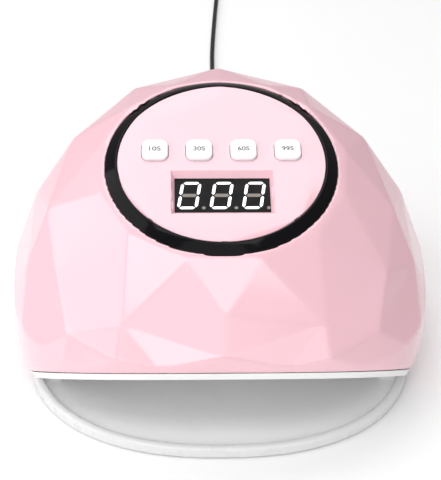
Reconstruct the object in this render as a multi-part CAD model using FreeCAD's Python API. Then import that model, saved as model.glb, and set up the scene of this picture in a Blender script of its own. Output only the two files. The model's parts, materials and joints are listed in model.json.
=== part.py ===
import FreeCAD, Part
import math
import os

os.makedirs("parts", exist_ok=True)

V = FreeCAD.Vector
X_AXIS, Y_AXIS, Z_AXIS = V(1, 0, 0), V(0, 1, 0), V(0, 0, 1)

# ---------------------------------------------------------------- driving dimensions, mm
# Origin: centre of the footprint on the table. +Z up, -Y towards the hand opening.
WIDTH = 217.0                # widest part of the housing
DEPTH = 200.0                # tray's front lip to the housing's back
FRONT_REACH = 94.5           # housing's plan outline: reach in front of its centre
BACK_REACH = 99.0            # and behind it
PLAN_CENTRE_Y = DEPTH / 2 - BACK_REACH
PLAN_POWER_FRONT = 2.9       # superellipse exponents of the plan outline
PLAN_POWER_BACK = 2.4
WALL = 2.5                   # housing wall
TUCK_HEIGHT = 28.0           # below this the wall tucks in towards the base
TUCK_SHARE = 0.06            # how far it has tucked in, 20 mm lower down
SHELL_BOTTOM = 8.0
FRAME_BOTTOM = 3.0
GAP = 0.15                   # joint line between two pieces of one body
CAP_R, CAP_TOP = 50.0, 1.7   # flat cap over the facets, which the panel's hole removes
FLARE = 1.08                 # the facets' foot lies this far outside the skirt
FOOT_Z = -12.0
MOVE_GAP = 0.5               # clearance between the tray and the housing

# Front opening: one sloping cut through this point of the pink shell's edge
BROW_Y, BROW_Z = -93.5, 52.0
BROW_SLOPE = 40.0            # degrees from the table
TRIM_THICK = 3.0             # white trim under the edge

# Control panel: a round, tilted top
PANEL_CENTRE = V(0, 1.5, 110.2)
PANEL_TILT = 13.5            # degrees, falling towards the front
PANEL_R = 52.8
PANEL_TOP = 2.5
RING_CREST_R = 54.1
RING_CREST = 2.6
RING_TOE_R = 59.0
RING_TOE = -0.7
RING_FOOT = -3.0

BUTTON_NAMES = ["button_10s", "button_30s", "button_60s", "button_99s"]
BUTTON_PITCH = 22.6
BUTTON_ROW = 6.0             # row's distance behind the panel's centre
BUTTON_SIDE = 13.5
BUTTON_CORNER = 3.8
BUTTON_STAND = 1.9           # cap's height above the panel
BUTTON_TRAVEL = 0.8
BUTTON_GAP = 0.3

DISPLAY_WIDTH, DISPLAY_HEIGHT = 48.0, 22.7
DISPLAY_ROW = -21.4
DISPLAY_DEPTH = 3.0          # recess below the panel's face
DIGIT_PITCH = 16.2
DIGIT_HEIGHT = 18.4
DIGIT_WIDTH = 10.8
DIGIT_LEAN = math.tan(math.radians(8))
SEGMENT_WIDTH = 2.1
SEGMENT_GAP = 0.45

# Flat middle of the panel; outside it the panel falls away in soft facets
PANEL_FLAT = [(0, 47), (39, 27), (46, -8), (34, -37), (0, -44)]
PANEL_FALL = 1.6
PANEL_SPREAD = 1.35
PANEL_SKIRT_R = 50.3         # inside of the collar under the panel
PANEL_SEAT_R = 57.5          # ledge that carries the ring

# Control board under the panel, heights from the panel's centre plane
BOARD_THICK = 1.6
BOARD_TOP = -11.0
BOARD_SCREWS = [(-38, 25), (38, 25), (-38, -25), (38, -25)]
STEM_END = -5.6              # lower end of a button's stem
SWITCH_BODY = 3.2            # height of a switch under its plunger
SWITCH_TOP = STEM_END - BUTTON_TRAVEL - 0.2

# Hand cavity and its light boards
CAVITY_ROOF = 46.0
LINER_WALL = 2.0
CAVITY_HALF_WIDTH = 90.0     # at the foot; the sides lean in by CAVITY_LEAN at the roof
CAVITY_LEAN = 9.0
CAVITY_FRONT = 87.5
CAVITY_BACK = 80.0
CAVITY_BACK_LEAN = 8.0
ROOF_LEDS = [(x, y) for y in (-40, -5, 30) for x in (-54, -36, -18, 0, 18, 36, 54)]
SIDE_LEDS = [-30, -18, -6, 6, 18, 30]
REAR_LEDS = [-25, -15, -5, 5, 15, 25]
SIDE_LED_Z = 25.0
REAR_LED_Z = 32.0
LED_R = 2.4
ROOF_BOARD_Z = 53.0
SIDE_BOARD_X = 96.0
REAR_BOARD_Y = 86.5
SIDE_LED_TIP = 87.5
REAR_LED_TIP = 75.4
SENSOR_PLACE = (0, -62)

# Screws, magnets and feet of the housing
SCREW_PLACES = [(95.2, -2.0), (87.8, 42.0), (60.0, 73.0)]
SCREW_PLACES += [(-x, y) for x, y in SCREW_PLACES]
SCREW_LENGTH = 12.0
BOSS_R = 2.7
BOSS_TOP = 17.0
MAGNET_X = 16.0
FRAME_MAGNET_Y = 80.6
PAD_PLACES = [(92.5, -27.0), (92.6, 20.0), (34.0, 81.6)]
PAD_PLACES += [(-x, y) for x, y in PAD_PLACES]
PAD_R = 2.2
PAD_SINK = 1.0

# Tray
TRAY_HALF_WIDTH = 101.0
TRAY_CENTRE_Y = -19.4
TRAY_FRONT_Y = -DEPTH / 2
TRAY_NECK = 88.0             # half width where the tray runs between the housing's sides
TRAY_SHOULDER_Y = -40.0
TRAY_BACK_Y = 78.0
TRAY_UNDER = 1.0
TRAY_FLOOR = 3.0
TRAY_LIP = 7.0
TRAY_LIP_WIDTH = 4.5
TRAY_BACK_START = 20.0       # where the tongue's sides begin to round
TRAY_POWER = 2.3
TRAY_PADS = [(66, -66), (-66, -66), (74, 40), (-74, 40)]
TRAY_PAD_R = 5.0
TRAY_MAGNET_Y = 74.6

# Rear socket, plug and adapter
JACK_Z = 16.0
JACK_FRONT = 98.0
PLUG_START = 99.7
PLUG_END = 113.0
RELIEF_END = 135.0
ADAPTER_END_X = -72.0
ADAPTER_Y = 448.5
ADAPTER_Z = 12.0
ADAPTER_LENGTH, ADAPTER_WIDTH, ADAPTER_HEIGHT = 68.0, 40.0, 29.0
PRONG_TOP = 46.0

# Cord: out of the plug, down to the table and back along it to a coil
CORD_D = 3.0
COIL_CENTRE = V(-8.0, 432.0, 0.0)
COIL_R = 16.5                # to the middle of the turns
COIL_BAND = 9.0              # three cords wide and three high
COIL_BOTTOM = 0.6            # the tie passes beneath
CORD_ROUTE = [V(0, RELIEF_END, JACK_Z), V(0, 154, 15.2), V(-1, 177, 7.5), V(0.5, 202, 1.5),
              V(3.5, 244, 1.5), V(2.8, 290, 1.5), V(5.5, 338, 1.5), V(8.5, 380, 1.5), V(11.5, 424.5, 2.1)]
TAIL_ROUTE = [V(-21.5, ADAPTER_Y, 8.1), V(-31, ADAPTER_Y + 1.0, 8.6), V(-42, ADAPTER_Y, 11.2),
              V(-52, ADAPTER_Y, ADAPTER_Z)]


def export(node, shape):
    """Write one named piece; a list of solids becomes one group."""
    solids = shape.Solids
    if not solids:
        raise ValueError(node + " has no solid")
    if len(solids) > 1:
        shape = Part.makeCompound(solids)
    else:
        shape = solids[0]
    shape.exportStep("parts/" + node + ".step")
    print("%-24s solids %2d  volume %10.1f  valid %s" % (node, len(solids), shape.Volume, shape.isValid()))


def box(x0, x1, y0, y1, z0, z1):
    return Part.makeBox(x1 - x0, y1 - y0, z1 - z0, V(x0, y0, z0))


def cylinder(radius, start, end):
    axis = end - start
    return Part.makeCylinder(radius, axis.Length, start, axis)


def revolve(profile):
    """Solid of revolution about Z from (radius, height) corners."""
    corners = [V(r, 0, z) for r, z in profile]
    face = Part.Face(Part.makePolygon(corners + corners[:1]))
    return face.revolve(V(0, 0, 0), Z_AXIS, 360)


def fuse_all(shapes):
    return shapes[0].multiFuse(shapes[1:]) if len(shapes) > 1 else shapes[0]


def panel_frame():
    return FreeCAD.Placement(PANEL_CENTRE, FreeCAD.Rotation(X_AXIS, PANEL_TILT))


def panel_placed(shape):
    """Move a shape drawn flat around the origin onto the tilted control panel."""
    placed = shape.copy()
    placed.Placement = panel_frame().multiply(placed.Placement)
    return placed


# ---------------------------------------------------------------- plan outlines
def superellipse_points(half_width, front, back, centre_y, power_front, power_back, count=72):
    points = []
    for i in range(count):
        angle = 2 * math.pi * i / count
        c, s = math.cos(angle), math.sin(angle)
        power = power_front if s < 0 else power_back
        reach = front if s < 0 else back
        radius = (abs(c) ** power + abs(s) ** power) ** (-1.0 / power)
        points.append((half_width * radius * c, centre_y + reach * radius * s))
    return points


def closed_curve(points, z):
    curve = Part.BSplineCurve()
    curve.interpolate(Points=[V(x, y, z) for x, y in points], PeriodicFlag=True)
    return Part.Wire(curve.toShape())


def housing_outline(z, inset=0.0):
    drop = max(0.0, TUCK_HEIGHT - z) / 20.0
    scale = 1.0 - TUCK_SHARE * drop ** 2
    points = superellipse_points(
        WIDTH / 2 * scale - inset, FRONT_REACH * scale - inset, BACK_REACH * scale - inset,
        PLAN_CENTRE_Y, PLAN_POWER_FRONT, PLAN_POWER_BACK)
    return closed_curve(points, z)


def housing_prism(inset, levels=(-4, 4, 12, 20, 28, 40, 60, 90, 135)):
    """The smooth skirt: upright above TUCK_HEIGHT, tucked in below it."""
    return Part.makeLoft([housing_outline(z, inset) for z in levels], True, False)


def above_brow(drop=0.0):
    """Everything above the sloping cut of the front opening, moved down by drop."""
    slope = math.radians(BROW_SLOPE)
    start = V(0, BROW_Y, BROW_Z) - V(0, math.sin(slope), math.cos(slope)) * drop
    block = Part.makeBox(400, 500, 400, V(-200, -250, 0))
    block.Placement = FreeCAD.Placement(start, FreeCAD.Rotation(X_AXIS, -BROW_SLOPE))
    return block


# ---------------------------------------------------------------- faceted dome
# Corners of the facets on the right half; the left half is their mirror image.
# Row 1 runs round the control ring, row 4 meets the smooth skirt. Corners named
# "dip" lie outside the skirt, so that the facets run out on it in scallops.
CORNERS = {
    "ring_0": V(0, -55.6, 95.5), "ring_1": V(17.8, -57.6, 93.8), "ring_2": V(47.2, -41.5, 97.2),
    "ring_3": V(61.7, -16.1, 103.1), "ring_4": V(64.5, 13.7, 109.2), "ring_5": V(46.6, 40.1, 120),
    "ring_6": V(24.4, 56.7, 122.5), "ring_7": V(0, 60.6, 123.3),
    "high_0": V(0, -80, 76.5), "high_1": V(82.4, -45.4, 76.3), "high_2": V(89, -6, 87),
    "high_3": V(77, 38.5, 101.6), "high_4": V(45.1, 66, 115.3), "high_5": V(0, 82, 118.5),
    "mid_0": V(49.3, -78.3, 69.5), "mid_1": V(76.7, -72.6, 60.6), "mid_2": V(99.5, -26.5, 67),
    "mid_3": V(97, 20, 79), "mid_4": V(83, 62, 82), "mid_5": V(48, 88, 92), "mid_6": V(0, 97, 88),
    "low_0": V(0, -93.9, 61.5), "dip_0": V(26, -97.5, 49), "low_1": V(51.3, -90.2, 57),
    "dip_1": V(58.8, -90.8, 45.6), "low_2": V(80, -78, 45.5), "dip_2": V(103, -62, 36),
    "low_3": V(110, -25, 40), "dip_3": V(115, -2, 36), "low_4": V(110, 20, 42),
    "dip_4": V(109, 44, 36), "low_5": V(97.6, 58.4, 42), "dip_5": V(86, 80, 38),
    "low_6": V(60.3, 90.4, 45), "dip_6": V(30, 103, 38), "low_7": V(0, 100.4, 45),
}
RING_ROW = ["ring_%d" % i for i in range(8)]
LOW_ROW = ["low_0", "dip_0", "low_1", "dip_1", "low_2", "dip_2", "low_3", "dip_3", "low_4",
           "dip_4", "low_5", "dip_5", "low_6", "dip_6", "low_7"]
FACETS = [
    ("ring_0", "ring_1", "high_0"), ("ring_1", "mid_0", "high_0"), ("ring_1", "ring_2", "mid_0"),
    ("ring_2", "high_1", "mid_0"), ("ring_2", "ring_3", "high_1"), ("ring_3", "high_2", "high_1"),
    ("ring_3", "ring_4", "high_2"), ("ring_4", "high_3", "high_2"), ("ring_4", "ring_5", "high_3"),
    ("ring_5", "high_4", "high_3"), ("ring_5", "ring_6", "high_4"), ("ring_6", "high_5", "high_4"),
    ("ring_6", "ring_7", "high_5"),
    ("high_0", "mid_0", "low_0"), ("mid_0", "high_1", "mid_1"), ("high_1", "mid_2", "mid_1"),
    ("high_1", "high_2", "mid_2"), ("high_2", "mid_3", "mid_2"), ("high_2", "high_3", "mid_3"),
    ("high_3", "mid_4", "mid_3"), ("high_3", "high_4", "mid_4"), ("high_4", "mid_5", "mid_4"),
    ("high_4", "high_5", "mid_5"), ("high_5", "mid_6", "mid_5"),
    ("low_0", "mid_0", "dip_0"), ("mid_0", "low_1", "dip_0"), ("mid_0", "mid_1", "low_1"),
    ("mid_1", "dip_1", "low_1"), ("mid_1", "low_2", "dip_1"), ("mid_1", "dip_2", "low_2"),
    ("mid_1", "mid_2", "dip_2"), ("mid_2", "low_3", "dip_2"), ("mid_2", "dip_3", "low_3"),
    ("mid_2", "mid_3", "dip_3"), ("mid_3", "low_4", "dip_3"), ("mid_3", "dip_4", "low_4"),
    ("mid_3", "mid_4", "dip_4"), ("mid_4", "low_5", "dip_4"), ("mid_4", "dip_5", "low_5"),
    ("mid_4", "mid_5", "dip_5"), ("mid_5", "low_6", "dip_5"), ("mid_5", "dip_6", "low_6"),
    ("mid_5", "mid_6", "dip_6"), ("mid_6", "low_7", "dip_6"),
]


def to_panel(point):
    return panel_frame().inverse().multVec(point)


def mirrored(point):
    return V(-point.x, point.y, point.z)


def dome_triangles():
    """Corner points and outward triangles of the whole closed faceted body."""
    points = dict(CORNERS)
    for name in RING_ROW:
        flat = to_panel(CORNERS[name])
        inner = V(flat.x, flat.y, 0).normalize() * CAP_R + V(0, 0, CAP_TOP)
        points[name.replace("ring", "cap")] = panel_frame().multVec(inner)
    for name in LOW_ROW:
        foot = CORNERS[name]
        points["foot_" + name] = V(foot.x * FLARE, foot.y * FLARE, FOOT_Z)
    points["cap_centre"] = panel_frame().multVec(V(0, 0, CAP_TOP))
    points["foot_centre"] = V(0, 0, FOOT_Z)
    half = list(FACETS)
    for a, b in zip(RING_ROW, RING_ROW[1:]):
        cap_a, cap_b = a.replace("ring", "cap"), b.replace("ring", "cap")
        half += [(cap_a, cap_b, a), (cap_b, b, a), ("cap_centre", cap_b, cap_a)]
    for a, b in zip(LOW_ROW, LOW_ROW[1:]):
        half += [(a, b, "foot_" + a), (b, "foot_" + b, "foot_" + a)]
        half += [("foot_centre", "foot_" + a, "foot_" + b)]
    on_right = {name for name, point in points.items() if abs(point.x) > 1e-6}
    for name in on_right:
        points["left_" + name] = mirrored(points[name])
    triangles = list(half)
    for a, b, c in half:
        left = [("left_" + n) if n in on_right else n for n in (a, b, c)]
        triangles.append((left[0], left[2], left[1]))
    centre = V(0, 0, 50)
    outward = []
    for a, b, c in triangles:
        normal = (points[b] - points[a]).cross(points[c] - points[a])
        middle = (points[a] + points[b] + points[c]) / 3.0
        outward.append((a, b, c) if normal.dot(middle - centre) > 0 else (a, c, b))
    return points, outward


def faceted_body(inset):
    """The faceted dome as a closed solid, its corners moved inwards by inset."""
    points, triangles = dome_triangles()
    if inset:
        pull = {name: V(0, 0, 0) for name in points}
        for a, b, c in triangles:
            normal = (points[b] - points[a]).cross(points[c] - points[a]).normalize()
            for name in (a, b, c):
                pull[name] = pull[name] + normal
        points = {name: point - pull[name].normalize() * inset for name, point in points.items()}
    faces = []
    for a, b, c in triangles:
        faces.append(Part.Face(Part.makePolygon([points[a], points[b], points[c], points[a]])))
    shell = Part.makeShell(faces)
    shell.sewShape()
    solid = Part.makeSolid(shell)
    if solid.Volume < 0:
        solid.reverse()
    return solid


def ring_room():
    """Space that the ring and the panel take out of the dome."""
    grow = 0.12
    return panel_placed(revolve([
        (0, -45), (RING_TOE_R + grow, -45), (RING_TOE_R + grow, RING_TOE + grow),
        (RING_CREST_R, RING_CREST + grow), (RING_CREST_R, 20), (0, 20)]))


# ---------------------------------------------------------------- housing pieces
def make_outer_shell():
    outer = faceted_body(0).common(housing_prism(0))
    inner = faceted_body(WALL).common(housing_prism(WALL))
    shell = outer.cut(inner)
    bosses = []
    for x, y in SCREW_PLACES:
        reach = V(x, y - PLAN_CENTRE_Y, 0).normalize()
        rib = box(0, 9, -1.2, 1.2, SHELL_BOTTOM, BOSS_TOP)
        rib.Placement = FreeCAD.Placement(
            V(x, y, 0), FreeCAD.Rotation(Z_AXIS, math.degrees(math.atan2(reach.y, reach.x))))
        boss = cylinder(BOSS_R, V(x, y, SHELL_BOTTOM), V(x, y, BOSS_TOP))
        bosses.append(boss.fuse(rib).common(housing_prism(WALL / 2)))
    shell = shell.multiFuse(bosses)
    for x, y in SCREW_PLACES:
        shell = shell.cut(cylinder(1.3, V(x, y, 0), V(x, y, BOSS_TOP - 1)))
    shell = shell.cut(ring_room())
    shell = shell.common(above_brow())
    shell = shell.common(box(-200, 200, -200, 200, SHELL_BOTTOM, 200))
    shell = shell.cut(cylinder(4.6, V(0, 90, JACK_Z), V(0, 110, JACK_Z)))
    vents = []
    for side in (-1, 1):
        for i in range(6):
            x = side * (24 + 6 * i)
            vents.append(box(x - 1.1, x + 1.1, 60, 110, 16, 32))
    return shell.cut(Part.makeCompound(vents))


def cavity_outline(z, grow):
    """Plan of the hand cavity: its sides lean in towards the roof."""
    rise = max(0.0, z - 8.0) / (CAVITY_ROOF - 8.0)
    half_width = CAVITY_HALF_WIDTH - CAVITY_LEAN * rise ** 2
    back = CAVITY_BACK - CAVITY_BACK_LEAN * rise ** 2
    points = superellipse_points(half_width + grow, CAVITY_FRONT + grow, back + grow, PLAN_CENTRE_Y,
                                 PLAN_POWER_FRONT, PLAN_POWER_BACK)
    return closed_curve(points, z)


def cavity_body(grow, roof):
    levels = (-2, 8, 20, 32, 40, roof)
    return Part.makeLoft([cavity_outline(z, grow) for z in levels], True, False)


def led(tip_inside, base):
    """A lens-topped diode between its board and the cavity."""
    axis = (tip_inside - base).normalize()
    shoulder = tip_inside - axis * LED_R * 0.7
    body = cylinder(LED_R, base, shoulder)
    dome = Part.makeSphere(LED_R, shoulder)
    return body.fuse(dome)


def led_groups():
    roof = [led(V(x, y, CAVITY_ROOF - 0.8), V(x, y, ROOF_BOARD_Z)) for x, y in ROOF_LEDS]
    left = [led(V(-SIDE_LED_TIP, y, SIDE_LED_Z), V(-SIDE_BOARD_X, y, SIDE_LED_Z)) for y in SIDE_LEDS]
    right = [led(V(SIDE_LED_TIP, y, SIDE_LED_Z), V(SIDE_BOARD_X, y, SIDE_LED_Z)) for y in SIDE_LEDS]
    rear = [led(V(x, REAR_LED_TIP, REAR_LED_Z), V(x, REAR_BOARD_Y, REAR_LED_Z)) for x in REAR_LEDS]
    return {"leds_roof": roof, "leds_left": left, "leds_right": right, "leds_rear": rear}


def make_inner_liner():
    cavity = cavity_body(0, CAVITY_ROOF)
    liner = cavity_body(LINER_WALL, CAVITY_ROOF + LINER_WALL)
    trim = housing_prism(0.4).cut(above_brow(GAP)).common(above_brow(GAP + TRIM_THICK))
    trim = trim.common(box(-200, 200, -200, 0, 0, 60))
    liner = liner.common(above_brow(GAP + TRIM_THICK / 2)).fuse(trim)
    posts = [cylinder(3, V(x, y, CAVITY_ROOF + 1), V(x, y, ROOF_BOARD_Z))
             for x in (-62, 62) for y in (-52, 42)]
    for side in (-1, 1):
        for y in (-24, 24):
            posts.append(cylinder(2, V(side * (SIDE_LED_TIP + 0.5), y, SIDE_LED_Z),
                                  V(side * SIDE_BOARD_X, y, SIDE_LED_Z)))
    for x in (-20, 20):
        posts.append(cylinder(2, V(x, REAR_LED_TIP + 1.6, REAR_LED_Z), V(x, REAR_BOARD_Y, REAR_LED_Z)))
    liner = liner.multiFuse(posts).cut(cavity)
    liner = liner.common(box(-200, 200, -200, 200, SHELL_BOTTOM + GAP, 100))
    hole_r = LED_R + 0.3
    holes = [cylinder(hole_r, V(x, y, 40), V(x, y, 52)) for x, y in ROOF_LEDS]
    for y in SIDE_LEDS:
        for side in (-1, 1):
            holes.append(cylinder(hole_r, V(side * (SIDE_LED_TIP - 6), y, SIDE_LED_Z),
                                  V(side * (SIDE_LED_TIP + 6), y, SIDE_LED_Z)))
    holes += [cylinder(hole_r, V(x, REAR_LED_TIP - 7, REAR_LED_Z), V(x, REAR_LED_TIP + 9, REAR_LED_Z))
              for x in REAR_LEDS]
    x, y = SENSOR_PLACE
    holes.append(cylinder(3.3, V(x, y, 40), V(x, y, 52)))
    return liner.cut(Part.makeCompound(holes))


def tray_wire(inset, z):
    """Tray outline: a wide rounded front, then a narrower tongue under the housing."""
    half_width = TRAY_HALF_WIDTH - inset
    reach = TRAY_CENTRE_Y - TRAY_FRONT_Y - inset
    power = TRAY_POWER
    shoulder = TRAY_SHOULDER_Y - inset
    lift = (TRAY_CENTRE_Y - shoulder) / reach
    shoulder_x = half_width * (1 - lift ** power) ** (1 / power)
    start = math.atan2(lift, shoulder_x / half_width)
    front = []
    steps = 40
    for i in range(steps + 1):
        angle = -start - (math.pi - 2 * start) * i / steps
        c, s = math.cos(angle), math.sin(angle)
        radius = (abs(c) ** power + abs(s) ** power) ** (-1.0 / power)
        front.append(V(half_width * radius * c, TRAY_CENTRE_Y + reach * radius * s, z))
    curve = Part.BSplineCurve()
    curve.interpolate(front)
    neck = TRAY_NECK - inset
    back_reach = TRAY_BACK_Y - inset - TRAY_BACK_START
    back = []
    for i in range(steps + 1):
        angle = math.pi * (1 - i / steps)
        c, s = math.cos(angle), math.sin(angle)
        radius = (abs(c) ** TRAY_POWER + abs(s) ** TRAY_POWER) ** (-1.0 / TRAY_POWER)
        back.append(V(neck * radius * c, TRAY_BACK_START + back_reach * radius * s, z))
    back[0], back[-1] = V(-neck, TRAY_BACK_START, z), V(neck, TRAY_BACK_START, z)
    rear = Part.BSplineCurve()
    rear.interpolate(back)
    right, left = front[0], front[-1]
    return Part.Wire([
        curve.toShape(),
        Part.makeLine(left, V(-neck, left.y, z)),
        Part.makeLine(V(-neck, left.y, z), back[0]),
        rear.toShape(),
        Part.makeLine(back[-1], V(neck, right.y, z)),
        Part.makeLine(V(neck, right.y, z), right)])


def slab(wire, height):
    return Part.Face(wire).extrude(V(0, 0, height))


def make_bottom_frame():
    """White C-shaped base of the housing, open at the front for the tray."""
    ring = housing_prism(0.4, levels=(-4, 0, 4, 8, 12)).common(
        box(-200, 200, -200, 200, FRAME_BOTTOM, SHELL_BOTTOM))
    room = slab(tray_wire(-MOVE_GAP, 0), 20)
    front = box(-TRAY_NECK - MOVE_GAP, TRAY_NECK + MOVE_GAP, -200, 21, 0, 20)
    frame = ring.cut(room).cut(front).common(above_brow(GAP + TRIM_THICK))
    frame = frame.cut(box(-200, 200, -200, TRAY_SHOULDER_Y + MOVE_GAP + 0.3, 0, 20))
    for x, y in SCREW_PLACES:
        frame = frame.cut(cylinder(1.5, V(x, y, 0), V(x, y, 20)))
        frame = frame.cut(cylinder(2.8, V(x, y, 0), V(x, y, FRAME_BOTTOM + 1.7)))
    for magnet in magnet_blocks(FRAME_MAGNET_Y, 0.05):
        frame = frame.cut(magnet)
    for pad in housing_pads(0.05):
        frame = frame.cut(pad)
    return frame


def magnet_blocks(y, grow):
    """Flat bar magnets, two in the housing's frame and two in the tray's back."""
    return [box(side * MAGNET_X - 6 - grow, side * MAGNET_X + 6 + grow, y - 1 - grow, y + 1 + grow,
                3.4 - grow, 6.2 + grow) for side in (-1, 1)]


def housing_pads(grow):
    pads = []
    for x, y in PAD_PLACES:
        pads.append(cylinder(PAD_R + grow, V(x, y, 0), V(x, y, FRAME_BOTTOM + PAD_SINK + grow)))
    return pads


def make_control_ring():
    bore = PANEL_R + GAP
    profile = [(bore, RING_FOOT), (RING_TOE_R, RING_FOOT), (RING_TOE_R, RING_TOE),
               (RING_CREST_R + 0.5, RING_CREST - 0.12), (RING_CREST_R, RING_CREST + 0.05),
               (RING_CREST_R - 0.6, RING_CREST), (bore, RING_CREST - 0.7)]
    return panel_placed(revolve(profile))


def rounded_square(side, radius, z0, z1):
    block = box(-side / 2, side / 2, -side / 2, side / 2, z0, z1)
    upright = [e for e in block.Edges if abs(e.tangentAt(e.FirstParameter).z) > 0.9]
    return block.makeFillet(radius, upright)


def button_places():
    return [V((i - 1.5) * BUTTON_PITCH, BUTTON_ROW, 0) for i in range(4)]


def display_recess():
    """Tapered pocket in front of the display, then a straight window."""
    top, deep = PANEL_TOP + 0.02, PANEL_TOP - DISPLAY_DEPTH
    w, h = DISPLAY_WIDTH / 2, DISPLAY_HEIGHT / 2
    flare_x, flare_back, flare_front = 1.9, 2.7, 3.5

    def loop(dx, back, front, z):
        y0, y1 = DISPLAY_ROW - h - front, DISPLAY_ROW + h + back
        corners = [V(-w - dx, y0, z), V(w + dx, y0, z), V(w + dx, y1, z), V(-w - dx, y1, z)]
        return Part.makePolygon(corners + corners[:1])

    pocket = Part.makeLoft([loop(0, 0, 0, deep), loop(flare_x, flare_back, flare_front, top)], True, True)
    window = box(-w, w, DISPLAY_ROW - h, DISPLAY_ROW + h, -12, deep + 0.01)
    return pocket.fuse(window)


def make_control_panel():
    flat = PANEL_FLAT + [(-x, y) for x, y in reversed(PANEL_FLAT) if x]
    flat_loop = [V(x, y, PANEL_TOP) for x, y in flat]
    low_loop = [V(x * PANEL_SPREAD, y * PANEL_SPREAD, PANEL_TOP - PANEL_FALL) for x, y in flat]
    crown = Part.makeLoft([Part.makePolygon(low_loop + low_loop[:1]),
                           Part.makePolygon(flat_loop + flat_loop[:1])], True, True)
    under = Part.Face(Part.makePolygon(low_loop + low_loop[:1])).extrude(V(0, 0, -20))
    disc = revolve([(0, -0.8), (0, 8), (PANEL_R, 8), (PANEL_R, -0.8)])
    plate = disc.common(crown.fuse(under))
    skirt = revolve([(PANEL_SKIRT_R, -9), (PANEL_R, -9), (PANEL_R, 0), (PANEL_SKIRT_R, 0)])
    ledge = RING_FOOT - GAP
    seat = revolve([(PANEL_R - 1, ledge - 2), (PANEL_SEAT_R, ledge - 2), (PANEL_SEAT_R, ledge),
                    (PANEL_R - 1, ledge)])
    posts = [cylinder(2.6, V(x, y, BOARD_TOP), V(x, y, 0)) for x, y in BOARD_SCREWS]
    panel = plate.multiFuse([skirt, seat] + posts)
    for place in button_places():
        hole = rounded_square(BUTTON_SIDE + 2 * BUTTON_GAP, BUTTON_CORNER + BUTTON_GAP, -5, 10)
        hole.translate(place)
        panel = panel.cut(hole)
    panel = panel.cut(display_recess())
    for x, y in BOARD_SCREWS:
        panel = panel.cut(cylinder(1.05, V(x, y, BOARD_TOP), V(x, y, -2.2)))
    return panel_placed(panel)


def make_button(place):
    cap = rounded_square(BUTTON_SIDE, BUTTON_CORNER, -1.6, PANEL_TOP + BUTTON_STAND)
    rim = [e for e in cap.Edges if abs(e.CenterOfMass.z - (PANEL_TOP + BUTTON_STAND)) < 0.01]
    cap = cap.makeFillet(0.9, rim)
    stem = cylinder(2.0, V(0, 0, STEM_END), V(0, 0, 0))
    button = cap.fuse(stem)
    button.translate(place)
    return panel_placed(button)


def make_tact_switches():
    switches = []
    for place in button_places():
        body = box(-3, 3, -3, 3, BOARD_TOP, BOARD_TOP + SWITCH_BODY)
        plunger = cylinder(1.6, V(0, 0, BOARD_TOP + SWITCH_BODY), V(0, 0, SWITCH_TOP))
        switch = body.fuse(plunger)
        switch.translate(place)
        switches.append(switch)
    return panel_placed(Part.makeCompound(switches))


def make_display_module():
    w, h = DISPLAY_WIDTH / 2 - 0.15, DISPLAY_HEIGHT / 2 - 0.15
    face = PANEL_TOP - DISPLAY_DEPTH
    return panel_placed(box(-w, w, DISPLAY_ROW - h, DISPLAY_ROW + h, face - 8.0, face))


def segment_outlines():
    """Corner lists of the seven bars of one digit, drawn upright round its centre."""
    w, h = DIGIT_WIDTH / 2 - SEGMENT_WIDTH / 2, DIGIT_HEIGHT / 2 - SEGMENT_WIDTH / 2
    half, gap = SEGMENT_WIDTH / 2, SEGMENT_GAP

    def bar(x0, y0, x1, y1):
        length = math.hypot(x1 - x0, y1 - y0)
        along = V((x1 - x0) / length, (y1 - y0) / length, 0)
        across = V(-along.y, along.x, 0)
        a, b = V(x0, y0, 0) + along * gap, V(x1, y1, 0) - along * gap
        return [a, a + along * half + across * half, b - along * half + across * half, b,
                b - along * half - across * half, a + along * half - across * half]

    outer = [bar(-w, h, w, h), bar(w, 0, w, h), bar(w, -h, w, 0), bar(-w, -h, w, -h),
             bar(-w, -h, -w, 0), bar(-w, 0, -w, h)]
    return outer, [bar(-w, 0, w, 0)]


def make_segments(lit):
    face = PANEL_TOP - DISPLAY_DEPTH
    outer, middle = segment_outlines()
    solids = []
    for i in range(3):
        centre = V((i - 1) * DIGIT_PITCH - 0.4, DISPLAY_ROW - 0.2, face)
        for outline in (outer if lit else middle):
            corners = [V(p.x + p.y * DIGIT_LEAN, p.y, 0) + centre for p in outline]
            solids.append(Part.Face(Part.makePolygon(corners + corners[:1])).extrude(V(0, 0, 0.2)))
        if not lit:
            dot = centre + V(DIGIT_WIDTH / 2 + 1.7, -DIGIT_HEIGHT / 2 + 1.0, 0)
            solids.append(cylinder(0.95, dot, dot + V(0, 0, 0.2)))
    return panel_placed(Part.makeCompound(solids))


def make_control_board():
    board = box(-43, 43, -36, 31, BOARD_TOP - BOARD_THICK, BOARD_TOP)
    for x, y in BOARD_SCREWS:
        board = board.cut(cylinder(1.4, V(x, y, -20), V(x, y, 0)))
    parts = [box(-30, -18, -14, -2, BOARD_TOP - BOARD_THICK - 1.6, BOARD_TOP - BOARD_THICK),
             box(8, 15, -20, -9, BOARD_TOP - BOARD_THICK - 3.0, BOARD_TOP - BOARD_THICK),
             cylinder(4.0, V(28, 6, BOARD_TOP - BOARD_THICK - 9), V(28, 6, BOARD_TOP - BOARD_THICK))]
    return panel_placed(board.multiFuse(parts))


def screw(head_r, head_h, shaft_r, length):
    """Pan-head screw along +Z from its head's outer face, with a cross recess."""
    body = cylinder(head_r, V(0, 0, 0), V(0, 0, head_h)).fuse(
        cylinder(shaft_r, V(0, 0, head_h), V(0, 0, length)))
    arm, deep = head_r * 0.55, head_h * 0.5
    cross = box(-arm, arm, -0.3, 0.3, 0, deep).fuse(box(-0.3, 0.3, -arm, arm, 0, deep))
    return body.cut(cross)


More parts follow.
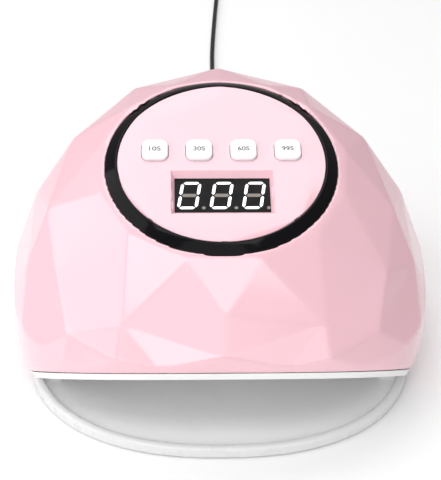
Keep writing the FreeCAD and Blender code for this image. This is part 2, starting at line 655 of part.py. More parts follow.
def make_board_screws():
    screws = []
    for x, y in BOARD_SCREWS:
        one = screw(2.0, 1.3, 1.0, 9.5)
        one.translate(V(x, y, BOARD_TOP - BOARD_THICK - 1.3))
        screws.append(one)
    return panel_placed(Part.makeCompound(screws))


def make_frame_screws():
    screws = []
    for x, y in SCREW_PLACES:
        one = screw(2.6, 1.6, 1.25, SCREW_LENGTH)
        one.translate(V(x, y, FRAME_BOTTOM + 0.1))
        screws.append(one)
    return Part.makeCompound(screws)


def make_roof_board():
    board = box(-66, 66, -68, 46, ROOF_BOARD_Z, ROOF_BOARD_Z + BOARD_THICK)
    return board.makeFillet(6, [e for e in board.Edges if abs(e.tangentAt(e.FirstParameter).z) > 0.9])


def make_side_board(side):
    x0, x1 = sorted((side * SIDE_BOARD_X, side * (SIDE_BOARD_X + BOARD_THICK)))
    return box(x0, x1, -36, 36, SIDE_LED_Z - 7, SIDE_LED_Z + 7)


def make_rear_board():
    return box(-32, 32, REAR_BOARD_Y, REAR_BOARD_Y + BOARD_THICK, REAR_LED_Z - 6, REAR_LED_Z + 7)


def make_hand_sensor():
    x, y = SENSOR_PLACE
    stem = cylinder(3.0, V(x, y, CAVITY_ROOF + 0.4), V(x, y, ROOF_BOARD_Z))
    return stem.fuse(Part.makeSphere(2.6, V(x, y, CAVITY_ROOF + 1.6)))


def path_tube(points, radius, report=None):
    """Round tube along straight runs joined by tangent arcs."""
    edges, radii, last = [], [], points[0]
    for before, corner, after in zip(points, points[1:], points[2:]):
        back, ahead = before - corner, after - corner
        run = min(back.Length, ahead.Length)
        back.normalize()
        ahead.normalize()
        half_turn = (math.pi - back.getAngle(ahead)) / 2
        cut = 0.45 * run
        bend = cut / math.tan(half_turn)
        radii.append(bend)
        start, end = corner + back * cut, corner + ahead * cut
        inward = (back + ahead).normalize()
        centre = corner + inward * (bend / math.cos(half_turn))
        middle = centre - inward * bend
        edges.append(Part.LineSegment(last, start).toShape())
        edges.append(Part.Arc(start, middle, end).toShape())
        last = end
    edges.append(Part.LineSegment(last, points[-1]).toShape())
    wire = Part.Wire(edges)
    direction = (points[1] - points[0]).normalize()
    ring = Part.Wire(Part.Circle(points[0], direction, radius).toShape())
    tube = wire.makePipeShell([ring], True, True)
    if report:
        expected = math.pi * radius ** 2 * wire.Length
        print("%s: length %.1f, radii %s, volume ratio %.4f" % (
            report, wire.Length, " ".join("%.0f" % r for r in radii), tube.Volume / expected))
    return tube


def make_board_leads():
    """Leads from the control board down to the light boards and the socket."""
    low = panel_frame().multVec(V(0, 22, BOARD_TOP - BOARD_THICK - 0.05))
    roof = ROOF_BOARD_Z + BOARD_THICK + 0.05
    side_x = SIDE_BOARD_X + BOARD_THICK / 2
    leads = [path_tube([low, low + V(0, 4, -12), V(4, 34, roof + 10), V(4, 32, roof)], 1.6)]
    for side in (-1, 1):
        leads.append(path_tube([V(side * 62, 0, roof), V(side * 64, 2, roof + 8),
                                V(side * 80, 4, roof + 6), V(side * (side_x - 3), 6, roof - 8),
                                V(side * side_x, 5, SIDE_LED_Z + 7.05)], 1.1))
    leads.append(path_tube([V(24, 44, roof), V(24, 48, roof + 8), V(22, 66, roof + 6),
                            V(21, 85, roof - 6), V(20, REAR_BOARD_Y + 0.8, REAR_LED_Z + 7.05)], 1.1))
    return Part.makeCompound(leads)


# ---------------------------------------------------------------- tray pieces
def make_base_tray():
    body = slab(tray_wire(0, TRAY_UNDER), TRAY_LIP - TRAY_UNDER)
    well = slab(tray_wire(TRAY_LIP_WIDTH, TRAY_FLOOR), 20)
    tray = body.cut(well)
    tray = tray.fuse(fuse_all(magnet_housings())).cut(Part.makeCompound(magnet_blocks(TRAY_MAGNET_Y, 0.05)))
    for x, y in TRAY_PADS:
        tray = tray.cut(cylinder(TRAY_PAD_R + 0.05, V(x, y, 0), V(x, y, TRAY_UNDER + 0.6)))
    return tray


def magnet_housings():
    return [box(side * MAGNET_X - 8, side * MAGNET_X + 8, TRAY_MAGNET_Y - 3, TRAY_MAGNET_Y + 1.8,
                TRAY_UNDER, TRAY_LIP) for side in (-1, 1)]


def make_tray_feet():
    feet = [cylinder(TRAY_PAD_R, V(x, y, 0), V(x, y, TRAY_UNDER + 0.55)) for x, y in TRAY_PADS]
    return Part.makeCompound(feet)


def make_tray_plate():
    """Thin reflective sheet that lines the tray's floor."""
    outline = tray_wire(TRAY_LIP_WIDTH + 0.5, TRAY_FLOOR + 0.02)
    plate = slab(outline, 0.5)
    return plate.cut(box(-30, 30, TRAY_MAGNET_Y - 4, 100, 0, 20))


# ---------------------------------------------------------------- cord pieces
def along_y(profile):
    """Solid of revolution about the socket's axis from (radius, y) corners."""
    solid = revolve(profile)
    solid.Placement = FreeCAD.Placement(V(0, 0, JACK_Z), FreeCAD.Rotation(X_AXIS, -90))
    return solid


def make_dc_jack():
    body = box(-5.5, 5.5, 84.0, 91.8, JACK_Z - 5.5, JACK_Z + 5.5)
    collar = cylinder(4.4, V(0, 91, JACK_Z), V(0, JACK_FRONT, JACK_Z))
    bore = cylinder(2.85, V(0, 86.0, JACK_Z), V(0, 105, JACK_Z))
    pin = cylinder(1.0, V(0, 86.0, JACK_Z), V(0, 96.0, JACK_Z))
    return body.fuse(collar).cut(bore).fuse(pin)


def make_dc_plug():
    grip = along_y([(0, PLUG_START), (4.3, PLUG_START), (4.8, PLUG_START + 0.6), (4.8, PLUG_END - 1.5),
                    (4.2, PLUG_END), (0, PLUG_END)])
    barrel = cylinder(2.75, V(0, 87.0, JACK_Z), V(0, PLUG_START + 1, JACK_Z))
    bore = cylinder(1.25, V(0, 80, JACK_Z), V(0, 98.0, JACK_Z))
    return grip.fuse(barrel).cut(bore)


def make_plug_relief():
    """Tapered sleeve with ring grooves where the cord leaves the plug."""
    profile = [(0, PLUG_END), (3.6, PLUG_END)]
    rings = 5
    pitch = (RELIEF_END - PLUG_END - 2) / rings
    for i in range(rings):
        y = PLUG_END + 1.5 + i * pitch
        r = 3.6 - 1.5 * (i + 0.5) / rings
        profile += [(r, y), (r - 0.7, y + 0.3), (r - 0.7, y + 1.5), (r - 0.1, y + 1.8)]
    profile += [(2.0, RELIEF_END), (0, RELIEF_END)]
    return along_y(profile)


def make_cord_coil():
    r, half = COIL_R, COIL_BAND / 2
    band = revolve([(r - half, COIL_BOTTOM), (r + half, COIL_BOTTOM),
                    (r + half, COIL_BOTTOM + COIL_BAND), (r - half, COIL_BOTTOM + COIL_BAND)])
    band.translate(COIL_CENTRE)
    return band


def make_cord_tie():
    """Hook-and-loop strap round the bundle."""
    half_width, thick, ease = 4.0, 0.55, 0.05
    inner_r, outer_r = COIL_R - COIL_BAND / 2, COIL_R + COIL_BAND / 2
    x0 = COIL_CENTRE.x - outer_r - ease
    x1 = COIL_CENTRE.x - math.sqrt(inner_r ** 2 - half_width ** 2) + ease
    top = COIL_BOTTOM + COIL_BAND + ease
    y0, y1 = COIL_CENTRE.y - half_width, COIL_CENTRE.y + half_width
    strap = box(x0 - thick, x1 + thick, y0, y1, 0, top + thick)
    return strap.cut(box(x0, x1, y0 - 1, y1 + 1, COIL_BOTTOM - ease, top))


def make_adapter():
    half = ADAPTER_WIDTH / 2
    body = box(ADAPTER_END_X - ADAPTER_LENGTH, ADAPTER_END_X, ADAPTER_Y - half, ADAPTER_Y + half, 0,
               ADAPTER_HEIGHT)
    body = body.makeFillet(4, [e for e in body.Edges if abs(e.tangentAt(e.FirstParameter).z) > 0.9])
    rims = [e for e in body.Edges if min(e.CenterOfMass.z, ADAPTER_HEIGHT - e.CenterOfMass.z) < 0.01]
    return body.makeFillet(1.5, rims)


def make_adapter_relief():
    x = ADAPTER_END_X
    cone = Part.makeCone(4.2, 2.0, 20, V(x, ADAPTER_Y, ADAPTER_Z), X_AXIS)
    grooves = []
    for i in range(4):
        start = V(x + 4 + 4 * i, ADAPTER_Y, ADAPTER_Z)
        outer = cylinder(6, start, start + V(1.2, 0, 0))
        grooves.append(outer.cut(cylinder(3.1 - 0.42 * i, start, start + V(1.2, 0, 0))))
    return cone.cut(Part.makeCompound(grooves))


def make_adapter_prongs():
    x = ADAPTER_END_X - ADAPTER_LENGTH / 2
    blades = []
    for side in (-1, 1):
        y = ADAPTER_Y + side * 6.35
        blade = box(x - 3.2, x + 3.2, y - 0.75, y + 0.75, ADAPTER_HEIGHT, PRONG_TOP)
        blades.append(blade.cut(cylinder(1.5, V(x, y - 2, PRONG_TOP - 4), V(x, y + 2, PRONG_TOP - 4))))
    return Part.makeCompound(blades)


# ---------------------------------------------------------------- write every piece
export("outer_shell", make_outer_shell())
export("inner_liner", make_inner_liner())
export("bottom_frame", make_bottom_frame())
export("frame_screws", make_frame_screws())
export("housing_magnets", Part.makeCompound(magnet_blocks(FRAME_MAGNET_Y, 0)))
export("housing_feet", Part.makeCompound(housing_pads(0)))
export("control_ring", make_control_ring())
export("control_panel", make_control_panel())
for name, place in zip(BUTTON_NAMES, button_places()):
    export(name, make_button(place))
export("tact_switches", make_tact_switches())
export("display_module", make_display_module())
export("display_segments_lit", make_segments(True))
export("display_segments_dim", make_segments(False))
export("control_board", make_control_board())
export("board_screws", make_board_screws())
export("led_board_roof", make_roof_board())
export("led_board_left", make_side_board(-1))
export("led_board_right", make_side_board(1))
export("led_board_rear", make_rear_board())
for name, group in led_groups().items():
    export(name, Part.makeCompound(group))
export("hand_sensor", make_hand_sensor())
export("board_leads", make_board_leads())
export("dc_jack", make_dc_jack())
export("base_tray", make_base_tray())
export("tray_plate", make_tray_plate())
export("tray_feet", make_tray_feet())
export("tray_magnets", Part.makeCompound(magnet_blocks(TRAY_MAGNET_Y, 0)))
export("dc_plug", make_dc_plug())
export("plug_relief", make_plug_relief())
export("power_cord", path_tube(CORD_ROUTE, CORD_D / 2, "power_cord"))
export("cord_coil", make_cord_coil())
export("cord_tie", make_cord_tie())
export("cord_tail", path_tube(TAIL_ROUTE, CORD_D / 2, "cord_tail"))
export("adapter_relief", make_adapter_relief())
export("power_adapter", make_adapter())
export("adapter_prongs", make_adapter_prongs())
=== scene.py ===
import json
import math

import bmesh
import bpy
from mathutils import Matrix, Vector


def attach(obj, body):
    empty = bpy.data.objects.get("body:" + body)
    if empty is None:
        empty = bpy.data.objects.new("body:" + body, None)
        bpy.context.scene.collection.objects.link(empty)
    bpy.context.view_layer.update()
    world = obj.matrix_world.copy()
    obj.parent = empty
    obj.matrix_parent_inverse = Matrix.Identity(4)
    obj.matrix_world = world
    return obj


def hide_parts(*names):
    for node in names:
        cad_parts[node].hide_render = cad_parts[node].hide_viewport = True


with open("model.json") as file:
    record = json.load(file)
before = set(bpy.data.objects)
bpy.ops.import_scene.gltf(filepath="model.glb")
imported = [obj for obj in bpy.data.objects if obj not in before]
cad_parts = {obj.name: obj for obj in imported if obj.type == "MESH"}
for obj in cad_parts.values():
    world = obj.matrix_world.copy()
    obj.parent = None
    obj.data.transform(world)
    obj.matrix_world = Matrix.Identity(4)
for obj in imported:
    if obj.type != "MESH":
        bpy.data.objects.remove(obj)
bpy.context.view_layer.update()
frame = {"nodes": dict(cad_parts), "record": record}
NODES = frame["nodes"]
MM = 0.001

# ---------------------------------------------------------------- places, in the part's own frame
PANEL_CENTRE = Vector((0.0, 1.5, 110.2)) * MM
PANEL_TILT = math.radians(13.5)
PANEL = Matrix.Translation(PANEL_CENTRE) @ Matrix.Rotation(PANEL_TILT, 4, "X")
CAP_FACE = 4.4 * MM              # cap's top above the panel's centre plane
BUTTON_ROW = 6.0 * MM
BUTTON_PITCH = 22.6 * MM
NUMERAL_SIZE = (6.0 * MM, 2.9 * MM)
NUMERAL_BOLD = 0.018             # how far each stroke of a numeral is widened, before it is scaled
INK_LIFT = 0.03 * MM
BAR_MARGIN = 0.27                # part of a lit bar's width that stays dark
PANEL_FOLD = 1.0 * MM            # radius along the panel's faint folds
BUTTONS = ["10s", "30s", "60s", "99s"]

# The ring's section, (radius, height) in mm: a rounded crest beside the panel and a slope to the toe.
RING_FOOT = -2.9
RING_BORE, RING_OUTSIDE = 53.0, 59.5
CREST_CENTRE, CREST_R = (53.9, 0.95), 0.9
TOE_CENTRE, TOE_R = (58.65, -1.9), 0.85
RING_SLOPE = 58                  # degrees, where the slope leaves each rounding
RING_TURN = 180                  # faces round the ring

# Size of the even mesh and how many times it is smoothed.
SHELL_VOXEL, SHELL_PASSES = 0.9 * MM, 6
BRIM_TOP = 9.0 * MM              # below this the shell's foot is left as it is
TRAY_VOXEL, TRAY_PASSES = 0.6 * MM, 14
TRAY_UNDERSIDE = 1.5 * MM        # below this the tray is left as it is

CORD_D = 3.0 * MM
CORD_ROUTE = [(0, 135, 16), (0, 154, 15.2), (-1, 177, 7.5), (0.5, 202, 1.5), (3.5, 244, 1.5),
              (2.8, 290, 1.5), (5.5, 338, 1.5), (8.5, 380, 1.5), (11.5, 424.5, 2.1)]
TAIL_ROUTE = [(-21.5, 448.5, 8.1), (-31, 449.5, 8.6), (-42, 448.5, 11.2), (-52, 448.5, 12)]
COIL_CENTRE = (-8.0, 432.0)
# One turn in each place of the bundle, (radius, height): in along the bottom, back out, then on top.
COIL_PLACES = [(19.5, 2.1), (16.5, 2.1), (13.5, 2.1), (13.5, 5.1), (16.5, 5.1), (19.5, 5.1),
               (19.5, 8.1), (16.5, 8.1)]
COIL_STEP = 18                   # degrees between points
COIL_END = 2610                  # seven and a quarter turns
CHANGE_EVERY = 320               # degrees from one change of place to the next
CHANGE_SPAN = 40


# ---------------------------------------------------------------- camera
def make_camera():
    """Looks down on the front of the lamp from a little left of its middle."""
    elevation, azimuth, roll = math.radians(38), math.radians(-2.27), math.radians(1.14)
    target, distance = Vector((0, -7, 50)) * MM, 0.8
    back = Vector((math.sin(azimuth) * math.cos(elevation),
                   -math.cos(azimuth) * math.cos(elevation), math.sin(elevation)))
    level = Vector((math.cos(azimuth), math.sin(azimuth), 0))
    upright = back.cross(level)
    right = level * math.cos(roll) + upright * math.sin(roll)
    up = upright * math.cos(roll) - level * math.sin(roll)
    data = bpy.data.cameras.new("camera")
    data.lens = 113.4
    data.shift_x, data.shift_y = 0.0008, 0.055
    data.clip_start, data.clip_end = 0.05, 20
    camera = bpy.data.objects.new("camera", data)
    camera.matrix_world = Matrix.Translation(target + back * distance) @ Matrix(
        (right, up, back)).transposed().to_4x4()
    bpy.context.collection.objects.link(camera)
    bpy.context.scene.camera = camera


# ---------------------------------------------------------------- materials
class Graph:
    """Short names for building one node material."""

    def __init__(self, name):
        self.material = bpy.data.materials.new(name)
        self.material.use_nodes = True
        self.nodes = self.material.node_tree.nodes
        self.links = self.material.node_tree.links
        self.shader = self.nodes["Principled BSDF"]
        self.place = self.nodes.new("ShaderNodeTexCoord").outputs["Object"]

    def add(self, kind, inputs=None, **settings):
        node = self.nodes.new(kind)
        for key, value in settings.items():
            setattr(node, key, value)
        for key, value in (inputs or {}).items():
            if isinstance(value, bpy.types.NodeSocket):
                self.links.new(value, node.inputs[key])
            else:
                node.inputs[key].default_value = value
        return node

    def noise(self, scale, detail=2.0, place=None):
        return self.add("ShaderNodeTexNoise", {
            "Vector": place or self.place, "Scale": scale, "Detail": detail}).outputs["Fac"]

    def stretched(self, scale):
        return self.add("ShaderNodeMapping", {"Vector": self.place, "Scale": scale}).outputs["Vector"]

    def ramp(self, value, low, high):
        return self.add("ShaderNodeMapRange", {
            "Value": value, "From Min": 0.3, "From Max": 0.7, "To Min": low,
            "To Max": high}).outputs["Result"]

    def mix(self, factor, dark, light):
        node = self.add("ShaderNodeMix", data_type="RGBA")
        node.inputs[6].default_value = (*dark, 1)
        node.inputs[7].default_value = (*light, 1)
        self.links.new(factor, node.inputs[0])
        return node.outputs[2]

    def use(self, socket, value):
        if isinstance(value, bpy.types.NodeSocket):
            self.links.new(value, self.shader.inputs[socket])
        else:
            self.shader.inputs[socket].default_value = value

    def bump(self, height, distance):
        node = self.add("ShaderNodeBump", {"Height": height, "Distance": distance, "Strength": 1.0})
        self.use("Normal", node.outputs["Normal"])


def shade(colour, amount):
    return tuple(min(1.0, c * amount) for c in colour)


def moulded(name, colour, roughness, grain, grain_height, cloud=14.0, spread=0.05, metal=0.0, coat=0.0,
            stretch=None, specular=0.5):
    """Moulded or drawn surface: a faint cloud in its colour, uneven gloss and a fine grain."""
    g = Graph(name)
    g.use("Specular IOR Level", specular)
    place = g.stretched(stretch) if stretch else None
    clouds = g.noise(cloud, 3.0)
    fine = g.noise(grain, 3.0, place)
    g.use("Base Color", g.mix(clouds, shade(colour, 1 - spread), shade(colour, 1 + spread)))
    g.use("Roughness", g.ramp(g.noise(grain * 0.2, 4.0, place), roughness * 0.82, roughness * 1.22))
    g.use("Metallic", metal)
    g.use("Coat Weight", coat)
    g.use("Coat Roughness", 0.06)
    g.bump(fine, grain_height * MM)
    return g.material


def glowing_bar(name, colour, strength):
    """Bar of the display that glows, brighter and darker in small patches."""
    g = Graph(name)
    glow = g.noise(420.0, 1.0)
    g.use("Base Color", g.mix(glow, shade(colour, 0.86), colour))
    g.use("Emission Color", g.mix(glow, shade(colour, 0.84), colour))
    g.use("Emission Strength", strength)
    g.use("Roughness", g.ramp(glow, 0.3, 0.42))
    return g.material


def circuit_board(name, colour, track):
    """Solder mask over copper tracks."""
    g = Graph(name)
    cells = g.add("ShaderNodeTexBrick", {
        "Vector": g.place, "Scale": 160.0, "Mortar Size": 0.06, "Color1": (1, 1, 1, 1),
        "Color2": (0.8, 0.8, 0.8, 1), "Mortar": (0, 0, 0, 1)})
    g.use("Base Color", g.mix(cells.outputs["Fac"], colour, track))
    g.use("Roughness", g.ramp(g.noise(900.0), 0.3, 0.5))
    g.bump(cells.outputs["Fac"], 0.03 * MM)
    return g.material


def woven(name, colour):
    """Nylon hook-and-loop strap."""
    g = Graph(name)
    warp = g.add("ShaderNodeTexWave", {"Vector": g.place, "Scale": 420.0, "Distortion": 1.5},
                 bands_direction="X").outputs["Fac"]
    weft = g.add("ShaderNodeTexWave", {"Vector": g.place, "Scale": 420.0, "Distortion": 1.5},
                 bands_direction="Y").outputs["Fac"]
    cloth = g.add("ShaderNodeMath", {0: warp, 1: weft}, operation="MULTIPLY").outputs["Value"]
    g.use("Base Color", g.mix(cloth, shade(colour, 0.6), shade(colour, 1.5)))
    g.use("Roughness", g.ramp(cloth, 0.75, 0.95))
    g.bump(cloth, 0.15 * MM)
    return g.material


def lens(name, colour):
    """Clear diode lens with a faint haze."""
    g = Graph(name)
    haze = g.noise(300.0, 2.0)
    g.use("Base Color", g.mix(haze, shade(colour, 0.92), colour))
    g.use("Roughness", g.ramp(haze, 0.04, 0.14))
    g.use("Transmission Weight", 0.6)
    g.use("IOR", 1.5)
    return g.material


def dimpled_sheet(name, colour):
    """Thin reflective sheet with a fine pebbled face."""
    g = Graph(name)
    cells = g.add("ShaderNodeTexVoronoi", {"Vector": g.place, "Scale": 900.0}).outputs["Distance"]
    g.use("Base Color", g.mix(g.noise(20.0, 3.0), shade(colour, 0.96), shade(colour, 1.03)))
    g.use("Roughness", g.ramp(g.noise(60.0, 3.0), 0.3, 0.42))
    g.bump(cells, 0.02 * MM)
    return g.material


PINK = (0.86, 0.53, 0.595)
MATERIALS = {
    "shell_pink": moulded("shell_pink", PINK, 0.16, 220.0, 0.006, spread=0.025, coat=0.5),
    "liner_white": moulded("liner_white", (0.84, 0.84, 0.84), 0.32, 1500.0, 0.006, spread=0.02),
    "ring_black": moulded("ring_black", (0.005, 0.005, 0.006), 0.09, 1800.0, 0.001, spread=0.3,
                          specular=0.12),
    "button_white": moulded("button_white", (0.93, 0.92, 0.93), 0.3, 1600.0, 0.004, spread=0.02),
    "display_black": moulded("display_black", (0.006, 0.006, 0.007), 0.4, 900.0, 0.001, spread=0.3,
                             specular=0.1),
    "segment_white": glowing_bar("segment_white", (0.95, 0.98, 1.0), 0.85),
    # Unlit bars: a faint painted glow, so they show against the black display.
    "segment_grey": glowing_bar("segment_grey", (0.2, 0.17, 0.15), 0.15),
    "switch_black": moulded("switch_black", (0.02, 0.02, 0.02), 0.45, 1400.0, 0.01),
    "board_green": circuit_board("board_green", (0.01, 0.12, 0.05), (0.02, 0.2, 0.08)),
    "board_white": circuit_board("board_white", (0.78, 0.78, 0.76), (0.86, 0.86, 0.84)),
    "led_lens": lens("led_lens", (0.95, 0.93, 0.8)),
    "sensor_black": moulded("sensor_black", (0.02, 0.01, 0.03), 0.15, 600.0, 0.002),
    "lead_white": moulded("lead_white", (0.75, 0.75, 0.74), 0.5, 1200.0, 0.01),
    "screw_steel": moulded("screw_steel", (0.62, 0.62, 0.64), 0.28, 2500.0, 0.006, metal=1.0),
    "magnet": moulded("magnet", (0.7, 0.7, 0.7), 0.2, 2200.0, 0.004, metal=1.0),
    "rubber_grey": moulded("rubber_grey", (0.2, 0.2, 0.21), 0.8, 2600.0, 0.02, spread=0.1),
    "tray_white": moulded("tray_white", (0.76, 0.76, 0.765), 0.28, 300.0, 0.002, spread=0.02),
    "tray_sheet": dimpled_sheet("tray_sheet", (0.92, 0.92, 0.925)),
    "cord_black": moulded("cord_black", (0.012, 0.012, 0.013), 0.42, 1500.0, 0.02, spread=0.25),
    "tie_black": woven("tie_black", (0.02, 0.02, 0.022)),
    "adapter_black": moulded("adapter_black", (0.015, 0.015, 0.016), 0.5, 2200.0, 0.03, spread=0.2),
    "prong_brass": moulded("prong_brass", (0.75, 0.68, 0.5), 0.25, 2200.0, 0.006, metal=1.0,
                           stretch=(1, 1, 0.05)),
}


def numeral_ink():
    """Pad-printed grey ink, slightly thin in places."""
    g = Graph("numeral_ink")
    g.use("Base Color", g.mix(g.noise(2500.0, 3.0), (0.1, 0.1, 0.11), (0.2, 0.2, 0.21)))
    g.use("Roughness", g.ramp(g.noise(1800.0), 0.4, 0.6))
    return g.material


# ---------------------------------------------------------------- mesh helpers
def add_piece(name, mesh, slot, body="housing", replaces=()):
    piece = bpy.data.objects.new(name, mesh)
    bpy.context.collection.objects.link(piece)
    mesh.materials.clear()
    mesh.materials.append(MATERIALS[slot])
    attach(piece, body)
    if replaces:
        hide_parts(*replaces)
    return piece


def merged(node, whole_faces=True):
    """Copy of a CAD node's mesh with its corners joined and, if asked, its flat faces whole."""
    work = bmesh.new()
    work.from_mesh(NODES[node].data)
    bmesh.ops.remove_doubles(work, verts=work.verts, dist=0.002 * MM)
    if whole_faces:
        bmesh.ops.dissolve_limit(work, angle_limit=math.radians(0.4), verts=work.verts, edges=work.edges)
    return work


def round_edges(work, pick, width, segments):
    edges = [e for e in work.edges if len(e.link_faces) == 2 and pick(e)]
    bmesh.ops.bevel(work, geom=edges, offset=width, offset_type="OFFSET", segments=segments,
                    profile=0.5, affect="EDGES", clamp_overlap=False)


def evaluated_mesh(source):
    """The object's mesh with its modifiers or its text applied."""
    return bpy.data.meshes.new_from_object(source.evaluated_get(bpy.context.evaluated_depsgraph_get()))


def soft_copy(node, name, voxel, passes, free):
    """Evenly divided copy of a CAD node, smoothed wherever free(point) is true."""
    whole = NODES[node].data.copy()
    source = bpy.data.objects.new("soft_source", whole)
    bpy.context.collection.objects.link(source)
    divide = source.modifiers.new("divide", "REMESH")
    divide.mode = "VOXEL"
    divide.voxel_size = voxel
    mesh = evaluated_mesh(source)
    bpy.data.objects.remove(source)
    bpy.data.meshes.remove(whole)
    work = bmesh.new()
    work.from_mesh(mesh)
    bpy.data.meshes.remove(mesh)
    moving = [v for v in work.verts if free(v.co)]
    for _ in range(passes):
        bmesh.ops.smooth_vert(work, verts=moving, factor=0.5,
                              use_axis_x=True, use_axis_y=True, use_axis_z=True)
    return to_mesh(work, name, 60.0)


def to_mesh(work, name, sharp=32.0):
    mesh = bpy.data.meshes.new(name)
    work.to_mesh(mesh)
    work.free()
    for face in mesh.polygons:
        face.use_smooth = True
    mesh.set_sharp_from_angle(angle=math.radians(sharp))
    return mesh


def even_normals(piece):
    """Flat faces stay flat and only their rounded edges turn."""
    normals = piece.modifiers.new("even_normals", "WEIGHTED_NORMAL")
    normals.keep_sharp = True
    normals.mode = "FACE_AREA"
    normals.weight = 50


def lathe(name, profile, turn, placement):
    """Closed surface of revolution from (radius, height) points in mm."""
    work = bmesh.new()
    rows = []
    for i in range(turn):
        angle = 2 * math.pi * i / turn
        rows.append([work.verts.new(placement @ Vector((r * math.cos(angle), r * math.sin(angle), z)))
                     for r, z in profile])
    for i in range(turn):
        here, there = rows[i], rows[(i + 1) % turn]
        for j in range(len(profile)):
            k = (j + 1) % len(profile)
            work.faces.new((here[j], there[j], there[k], here[k]))
    bmesh.ops.recalc_face_normals(work, faces=work.faces)
    return to_mesh(work, name)


def arc(centre_r, centre_z, radius, start, end, count):
    points = []
    for i in range(count + 1):
        angle = math.radians(start + (end - start) * i / count)
        points.append((centre_r + radius * math.cos(angle), centre_z + radius * math.sin(angle)))
    return points


# ---------------------------------------------------------------- pieces
def make_shell():
    """The dome, with its folds and scallops softened as they are on a glossy moulding."""
    mesh = soft_copy("outer_shell", "shell_facets", SHELL_VOXEL, SHELL_PASSES, lambda p: p.z > BRIM_TOP)
    add_piece("shell_facets", mesh, "shell_pink", replaces=["outer_shell"])


def make_panel():
    work = merged("control_panel")
    up = PANEL.to_3x3() @ Vector((0, 0, 1))

    def soft_fold(edge):
        return all(f.normal.dot(up) > 0.9 for f in edge.link_faces) and edge.calc_face_angle() > 0.02

    round_edges(work, soft_fold, PANEL_FOLD, 3)
    panel = add_piece("panel_face", to_mesh(work, "panel_face", 25.0), "shell_pink",
                      replaces=["control_panel"])
    even_normals(panel)


def make_ring():
    profile = [(RING_BORE, RING_FOOT)]
    profile += arc(*CREST_CENTRE, CREST_R, 180, RING_SLOPE, 8)
    profile += [(55.9, 0.79), (57.5, -0.19)]
    profile += arc(*TOE_CENTRE, TOE_R, RING_SLOPE, 0, 6) + [(RING_OUTSIDE, RING_FOOT)]
    placement = PANEL @ Matrix.Scale(MM, 4)
    add_piece("ring_gloss", lathe("ring_gloss", profile, RING_TURN, placement), "ring_black",
              replaces=["control_ring"])


def make_segments():
    """The lit bars of the digits, with a dark margin along each."""
    work = merged("display_segments_lit", whole_faces=False)
    into_panel = PANEL.inverted()
    seen = set()
    for first in work.verts:
        if first in seen:
            continue
        seen.add(first)
        bar, found = [], [first]
        while found:
            vert = found.pop()
            bar.append(vert)
            for edge in vert.link_edges:
                other = edge.other_vert(vert)
                if other not in seen:
                    seen.add(other)
                    found.append(other)
        flat = [into_panel @ v.co for v in bar]
        middle = sum(flat, Vector()) / len(flat)
        xx = sum((p.x - middle.x) ** 2 for p in flat)
        yy = sum((p.y - middle.y) ** 2 for p in flat)
        xy = sum((p.x - middle.x) * (p.y - middle.y) for p in flat)
        lean = math.atan2(2 * xy, xx - yy) / 2
        across = Vector((-math.sin(lean), math.cos(lean), 0))
        for vert, point in zip(bar, flat):
            vert.co = PANEL @ (point - across * (point - middle).dot(across) * BAR_MARGIN)
    add_piece("segment_bars", to_mesh(work, "segment_bars"), "segment_white",
              replaces=["display_segments_lit"])


def make_numeral(index, label):
    """Seconds of one timer button, printed on its cap."""
    text = bpy.data.curves.new("label", "FONT")
    text.body = label.upper()
    text.extrude = 0.02
    text.offset = NUMERAL_BOLD
    source = bpy.data.objects.new("label", text)
    bpy.context.collection.objects.link(source)
    mesh = evaluated_mesh(source)
    bpy.data.objects.remove(source)
    xs, ys = [v.co.x for v in mesh.vertices], [v.co.y for v in mesh.vertices]
    wide, tall = NUMERAL_SIZE
    scale = Vector((wide / (max(xs) - min(xs)), tall / (max(ys) - min(ys)), 2.0 * MM))
    centre = Vector((max(xs) + min(xs), max(ys) + min(ys), 0)) / 2
    spot = Vector(((index - 1.5) * BUTTON_PITCH, BUTTON_ROW, CAP_FACE + INK_LIFT))
    for v in mesh.vertices:
        v.co = PANEL @ (spot + (v.co - centre) * scale)
    mesh.name = "numeral_" + label
    add_piece("numeral_" + label, mesh, "button_white", body="button_" + label)
    mesh.materials[0] = INK


def make_tray():
    """The tray with its lip rolled over."""
    mesh = soft_copy("base_tray", "tray_rolled_lip", TRAY_VOXEL, TRAY_PASSES,
                     lambda p: p.z > TRAY_UNDERSIDE)
    add_piece("tray_rolled_lip", mesh, "tray_white", body="tray", replaces=["base_tray"])


def coil_points():
    points = []
    for turned in range(0, COIL_END + 1, COIL_STEP):
        step = 0.0
        for k in range(1, len(COIL_PLACES)):
            start = CHANGE_EVERY * k - CHANGE_SPAN / 2
            step += min(1.0, max(0.0, (turned - start) / CHANGE_SPAN))
        low = min(int(step), len(COIL_PLACES) - 2)
        part = step - low
        (r0, z0), (r1, z1) = COIL_PLACES[low], COIL_PLACES[low + 1]
        radius = (r0 + (r1 - r0) * part) / math.cos(math.radians(COIL_STEP / 2))
        angle = math.radians(turned)
        points.append((COIL_CENTRE[0] + radius * math.cos(angle),
                       COIL_CENTRE[1] + radius * math.sin(angle), z0 + (z1 - z0) * part))
    return points


def make_cord():
    points = CORD_ROUTE + coil_points() + TAIL_ROUTE
    curve = bpy.data.curves.new("supply_cord", "CURVE")
    curve.dimensions = "3D"
    spline = curve.splines.new("NURBS")
    spline.points.add(len(points) - 1)
    for target, point in zip(spline.points, points):
        target.co = (*(Vector(point) * MM), 1.0)
    spline.order_u = 3
    spline.use_endpoint_u = True
    spline.resolution_u = 6
    curve.bevel_depth = CORD_D / 2
    curve.bevel_resolution = 4
    curve.use_fill_caps = True
    cord = bpy.data.objects.new("supply_cord", curve)
    bpy.context.collection.objects.link(cord)
    curve.materials.append(MATERIALS["cord_black"])
    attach(cord, "housing")
    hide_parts("power_cord", "cord_coil", "cord_tail")


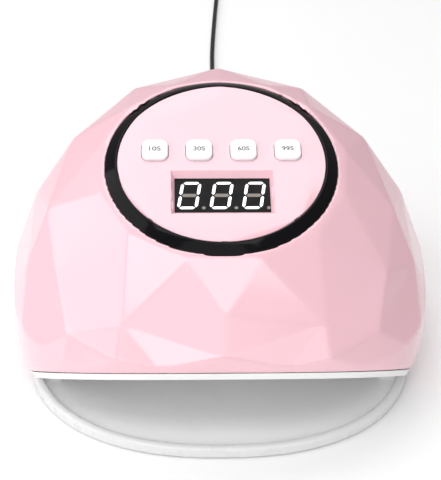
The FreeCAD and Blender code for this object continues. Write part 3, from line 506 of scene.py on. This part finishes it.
# ---------------------------------------------------------------- studio
def make_floor():
    work = bmesh.new()
    bmesh.ops.create_grid(work, x_segments=8, y_segments=8, size=3.0)
    mesh = bpy.data.meshes.new("floor")
    work.to_mesh(mesh)
    work.free()
    floor = bpy.data.objects.new("floor", mesh)
    bpy.context.collection.objects.link(floor)
    g = Graph("floor_pale")
    g.use("Base Color", g.mix(g.noise(3.0), (0.96, 0.96, 0.96), (0.97, 0.97, 0.97)))
    g.use("Roughness", g.ramp(g.noise(40.0), 0.6, 0.7))
    mesh.materials.append(g.material)


# Name, place in metres, width, watts, and the depth of the oblong one; all aim at the housing's middle.
LIGHTS = [
    ("key", (-0.98, -0.42, 0.45), 0.7, 1.5),
    ("left", (-1.0, 0.08, 0.68), 1.1, 4.6),
    ("top", (0, 0.55, 1.06), 1.0, 5.6),
    ("overhead", (-0.1, -0.4, 1.1), 1.2, 3.7, 0.34),
    ("front", (-0.1, -0.95, 0.85), 1.0, 2.3),
    ("front_left", (-0.4, -0.98, 0.46), 0.56, 1.9),
    ("front_right", (0.46, -0.93, 0.5), 0.56, 1.0),
]
LIGHT_AIM = Vector((0, 0, 0.06))
SKY_STRENGTH = 0.3


def area_light(name, place, size, power, depth=None):
    data = bpy.data.lights.new(name, "AREA")
    data.shape = "RECTANGLE" if depth else "DISK"
    data.size = size
    if depth:
        data.size_y = depth
    data.energy = power
    light = bpy.data.objects.new(name, data)
    light.location = place
    light.rotation_mode = "QUATERNION"
    light.rotation_quaternion = (LIGHT_AIM - Vector(place)).to_track_quat("-Z", "Y")
    bpy.context.collection.objects.link(light)


def make_lights():
    world = bpy.data.worlds.new("studio")
    world.use_nodes = True
    sky = world.node_tree.nodes["Background"]
    sky.inputs["Color"].default_value = (1, 1, 1, 1)
    sky.inputs["Strength"].default_value = SKY_STRENGTH
    bpy.context.scene.world = world
    for light in LIGHTS:
        area_light(*light)
    bpy.context.scene.view_settings.view_transform = "Standard"


INK = numeral_ink()
for subpart in frame["record"]["subparts"]:
    node_mesh = NODES[subpart["node"]].data
    node_mesh.materials.clear()
    node_mesh.materials.append(MATERIALS[subpart["material_slot"]])

make_camera()
make_cord()
make_shell()
make_panel()
make_ring()
make_segments()
make_tray()
for number, seconds in enumerate(BUTTONS):
    make_numeral(number, seconds)
make_floor()
make_lights()
